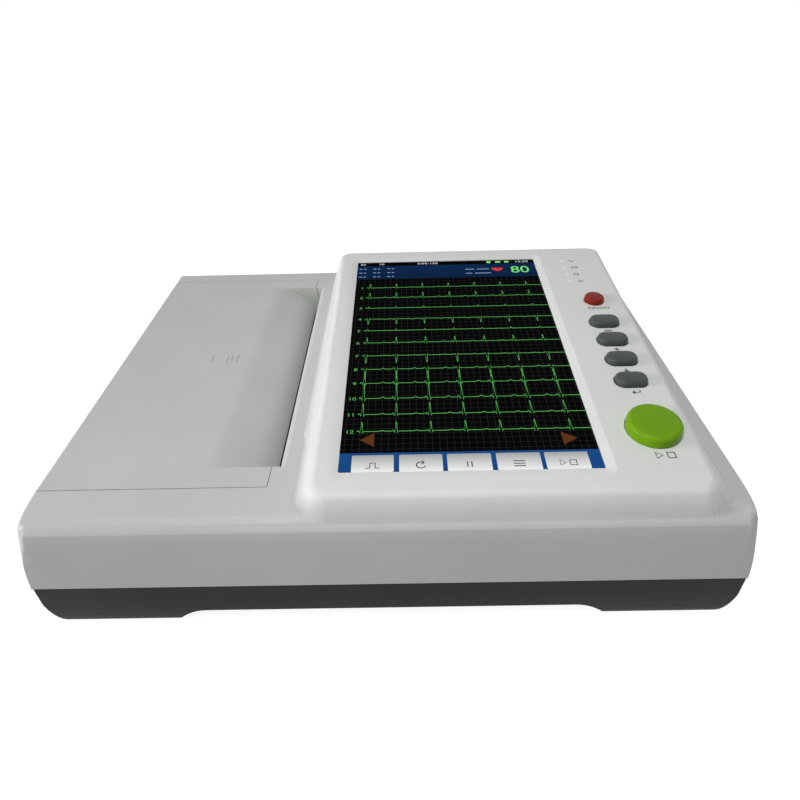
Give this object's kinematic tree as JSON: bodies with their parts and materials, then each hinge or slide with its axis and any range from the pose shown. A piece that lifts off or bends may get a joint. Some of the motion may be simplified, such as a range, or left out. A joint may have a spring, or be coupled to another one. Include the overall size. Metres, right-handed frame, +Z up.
{
  "type": "ecg machine",
  "caption": "Desktop electrocardiograph with a tilted touch display, keys, a hinged paper cover over a roll-fed thermal printer and rear mains connectors.",
  "frame": {"origin": "centre of the footprint, on the surface that the feet stand on", "axes": "+X to the right, +Y to the back, +Z up, with the operator in front at -Y"},
  "size_m": [0.366, 0.299, 0.1008],
  "materials": {
    "case_plastic": "moulded, fine satin texture",
    "cover_plastic": "moulded, fine satin texture",
    "base_plastic": "moulded, satin",
    "key_plastic": "moulded, satin",
    "red_plastic": "moulded, half gloss",
    "green_plastic": "moulded, half gloss",
    "black_plastic": "moulded",
    "clear_plastic": "moulded light pipe",
    "gear_plastic": "moulded acetal",
    "rubber": "moulded",
    "platen_rubber": "ground",
    "steel": "zinc plated sheet",
    "ground_steel": "ground",
    "brass": "machined",
    "plated_brass": "nickel plated",
    "aluminium": "extruded",
    "ceramic": "glazed",
    "circuit": "solder resist",
    "glass": "touch glass over a dark display",
    "battery_wrap": "shrink wrap",
    "paper": "thermal recording paper",
    "cardboard": "wound core"
  },
  "bodies": {
    "case": {"base_shell": "base_plastic", "top_housing": "case_plastic", "rubber_feet": "rubber", "case_screws": "steel", "battery_door": "base_plastic", "battery_pack": "battery_wrap", "main_board": "circuit", "power_module": "circuit", "mains_inlet": "black_plastic", "fuse_holders": "black_plastic", "mains_switch_frame": "black_plastic", "earth_post": "plated_brass", "ecg_socket": "steel", "usb_port": "steel", "speaker": "black_plastic", "touch_glass": "glass", "display_panel": "black_plastic", "display_bracket": "steel", "keypad_board": "circuit", "key_switches": "black_plastic", "light_pipes": "clear_plastic", "hinge_pin": "ground_steel", "printer_chassis": "steel", "latch_forks": "steel", "idler_axle": "ground_steel", "paper_motor": "steel", "head_guides": "ground_steel", "paper_tray": "base_plastic"},
    "cover": {"paper_cover": "cover_plastic", "platen_bearings": "gear_plastic"},
    "platen": {"platen_shaft": "ground_steel", "platen_roller": "platen_rubber", "platen_gear": "gear_plastic"},
    "idler": {"idler_gear": "gear_plastic"},
    "motor_rotor": {"motor_shaft": "ground_steel", "motor_pinion": "brass"},
    "thermal_head": {"print_head": "ceramic", "head_heatsink": "aluminium", "head_springs": "steel"},
    "paper_supply": {"paper_roll": "paper", "roll_core": "cardboard", "roll_spindle": "black_plastic"},
    "rocker": {"mains_rocker": "black_plastic"},
    "power_button": {"power_key": "red_plastic"},
    "menu_button": {"menu_key": "key_plastic"},
    "up_button": {"up_key": "key_plastic"},
    "down_button": {"down_key": "key_plastic"},
    "enter_button": {"enter_key": "key_plastic"},
    "print_button": {"print_key": "green_plastic"}
  },
  "joints": [
    {"name": "cover_hinge", "type": "hinge", "parent": "case", "child": "cover", "pos_m": [-0.178, 0.0069, 0.042], "axis": [0, -1, 0], "range_deg": [0, 95]},
    {"name": "platen_spin", "type": "hinge", "parent": "cover", "child": "platen", "pos_m": [-0.07083, 0.0069, 0.0397], "axis": [0, 1, 0], "continuous": true},
    {"name": "idler_spin", "type": "hinge", "parent": "case", "child": "idler", "pos_m": [-0.07083, 0.1228, 0.0241], "axis": [0, 1, 0], "continuous": true},
    {"name": "motor_spin", "type": "hinge", "parent": "case", "child": "motor_rotor", "pos_m": [-0.0594, 0.1228, 0.0307], "axis": [0, 1, 0], "continuous": true},
    {"name": "head_float", "type": "slide", "parent": "case", "child": "thermal_head", "axis": [1, 0, 0], "range_m": [0, 0.0008], "stiffness_N_per_m": 4000},
    {"name": "paper_unroll", "type": "hinge", "parent": "case", "child": "paper_supply", "pos_m": [-0.136, 0.0069, 0.04], "axis": [0, 1, 0], "continuous": true},
    {"name": "mains_switch", "type": "hinge", "parent": "case", "child": "rocker", "pos_m": [0.096, 0.1421, 0.0496], "axis": [1, 0, 0], "range_deg": [0, 20]},
    {"name": "power_press", "type": "slide", "parent": "case", "child": "power_button", "axis": [0, 0.0872, -0.9962], "range_m": [0, 0.0012], "stiffness_N_per_m": 900},
    {"name": "menu_press", "type": "slide", "parent": "case", "child": "menu_button", "axis": [0, 0.0872, -0.9962], "range_m": [0, 0.0012], "stiffness_N_per_m": 900},
    {"name": "up_press", "type": "slide", "parent": "case", "child": "up_button", "axis": [0, 0.0872, -0.9962], "range_m": [0, 0.0012], "stiffness_N_per_m": 900},
    {"name": "down_press", "type": "slide", "parent": "case", "child": "down_button", "axis": [0, 0.0872, -0.9962], "range_m": [0, 0.0012], "stiffness_N_per_m": 900},
    {"name": "enter_press", "type": "slide", "parent": "case", "child": "enter_button", "axis": [0, 0.0872, -0.9962], "range_m": [0, 0.0012], "stiffness_N_per_m": 900},
    {"name": "print_press", "type": "slide", "parent": "case", "child": "print_button", "axis": [0, 0.0872, -0.9962], "range_m": [0, 0.0012], "stiffness_N_per_m": 1200}
  ],
  "couplings": [
    {"joint": "idler_spin", "follows": "platen_spin", "ratio": -0.85714},
    {"joint": "motor_spin", "follows": "platen_spin", "ratio": 1.5}
  ]
}
